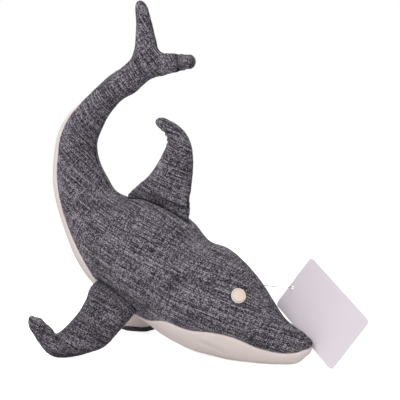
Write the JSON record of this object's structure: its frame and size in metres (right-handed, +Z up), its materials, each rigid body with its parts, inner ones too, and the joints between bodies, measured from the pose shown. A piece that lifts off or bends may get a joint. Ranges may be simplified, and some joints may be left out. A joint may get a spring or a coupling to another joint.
{
  "type": "plush dolphin",
  "caption": "Soft toy dolphin in woven grey and cream cloth, tail arched up over its back, standing on its throat and side fins, with a hang tag.",
  "frame": {"origin": "on the surface that the toy stands on, under the middle of its bounding box, tag left out", "axes": "+X from the middle towards the nose, +Y towards the toy's left side, +Z up"},
  "size_m": [0.3101, 0.1546, 0.3262],
  "materials": {
    "grey_cloth": "heathered weave, matt",
    "cream_cloth": "plain weave, matt",
    "filling": "loose fibre",
    "eye_cloth": "fine weave, matt",
    "eye_stitching": "satin stitch",
    "tag_card": "smooth, blank",
    "nylon": "translucent filament"
  },
  "bodies": {
    "root": {"side_panel_right": "grey_cloth", "side_panel_left": "grey_cloth", "belly_panel": "cream_cloth", "body_filling": "filling", "dorsal_fin_right": "grey_cloth", "dorsal_fin_left": "grey_cloth", "dorsal_fin_filling": "filling", "right_pectoral_outer": "grey_cloth", "right_pectoral_inner": "cream_cloth", "right_pectoral_filling": "filling", "left_pectoral_outer": "grey_cloth", "left_pectoral_inner": "cream_cloth", "left_pectoral_filling": "filling", "eye_patch_right": "eye_cloth", "eye_patch_left": "eye_cloth", "eye_rim_right": "eye_stitching", "eye_rim_left": "eye_stitching", "hang_tag": "tag_card", "tag_pin": "nylon", "tag_pin_bar": "nylon"}
  },
  "joints": []
}
